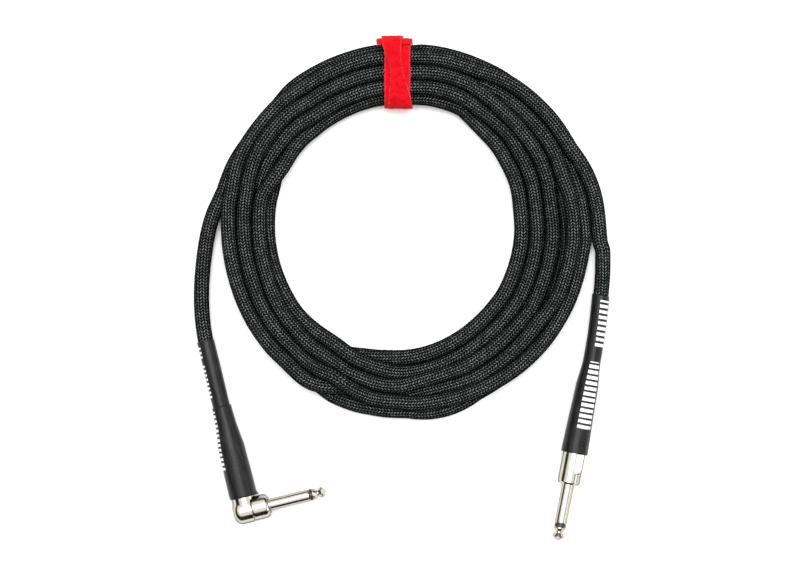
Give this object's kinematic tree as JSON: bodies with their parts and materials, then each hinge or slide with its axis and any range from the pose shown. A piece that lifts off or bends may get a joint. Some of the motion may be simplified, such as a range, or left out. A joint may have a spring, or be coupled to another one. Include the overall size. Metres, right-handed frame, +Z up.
{
  "type": "instrument cable",
  "caption": "Braided instrument cable, coiled flat and held by a hook-and-loop tie, with a right-angle phone plug on one end and a straight one on the other.",
  "frame": {"origin": "on the table under the middle of the whole layout: coil, leads, plugs and tie", "axes": "+Z up off the table; +Y in the plane of the coil, from the plugs towards the tie; +X in the plane of the coil, from the right-angle plug towards the straight plug"},
  "size_m": [0.2252, 0.2724, 0.0242],
  "materials": {
    "braid": "tight braided nylon over PVC, matt with small glints",
    "shrink_sleeve": "heat-shrink tube, satin",
    "nickel": "bright nickel plate",
    "brass": "plain stamped brass",
    "insulator": "moulded nylon",
    "inner_jacket": "flexible PVC",
    "copper": "bare copper strands",
    "inner_insulation": "foamed polyethylene",
    "tie_felt": "brushed loop felt, fuzzy"
  },
  "bodies": {
    "root": {"angled_braid_end": "braid", "angled_cable_clamp": "brass", "angled_core_end": "copper", "angled_dielectric_end": "inner_insulation", "angled_elbow": "nickel", "angled_flange_washer": "nickel", "angled_front": "nickel", "angled_jacket_end": "inner_jacket", "angled_rear_insulator": "insulator", "angled_shield_end": "copper", "angled_shrink_inner": "shrink_sleeve", "angled_shrink_outer": "shrink_sleeve", "angled_sleeve_contact": "nickel", "angled_tip_contact": "nickel", "angled_tip_insulator": "insulator", "angled_tip_lug": "brass", "cable_coil": "braid", "cable_lead_angled": "braid", "cable_lead_straight": "braid", "straight_body": "nickel", "straight_braid_end": "braid", "straight_core_end": "copper", "straight_dielectric_end": "inner_insulation", "straight_ground_lug": "brass", "straight_jacket_end": "inner_jacket", "straight_liner": "insulator", "straight_rear_insulator": "insulator", "straight_shell": "nickel", "straight_shield_end": "copper", "straight_shrink_inner": "shrink_sleeve", "straight_shrink_outer": "shrink_sleeve", "straight_sleeve_contact": "nickel", "straight_tip_contact": "nickel", "straight_tip_insulator": "insulator", "straight_tip_lug": "brass", "tie_head": "tie_felt", "tie_strap": "tie_felt"},
    "tie_flap": {"tie_flap": "tie_felt"}
  },
  "joints": [
    {"name": "tie_flap_peel", "type": "hinge", "parent": "root", "child": "tie_flap", "pos_m": [-0.005, 0.13555, 0.01184], "axis": [-1, 0, 0], "range_deg": [0, 150]}
  ]
}
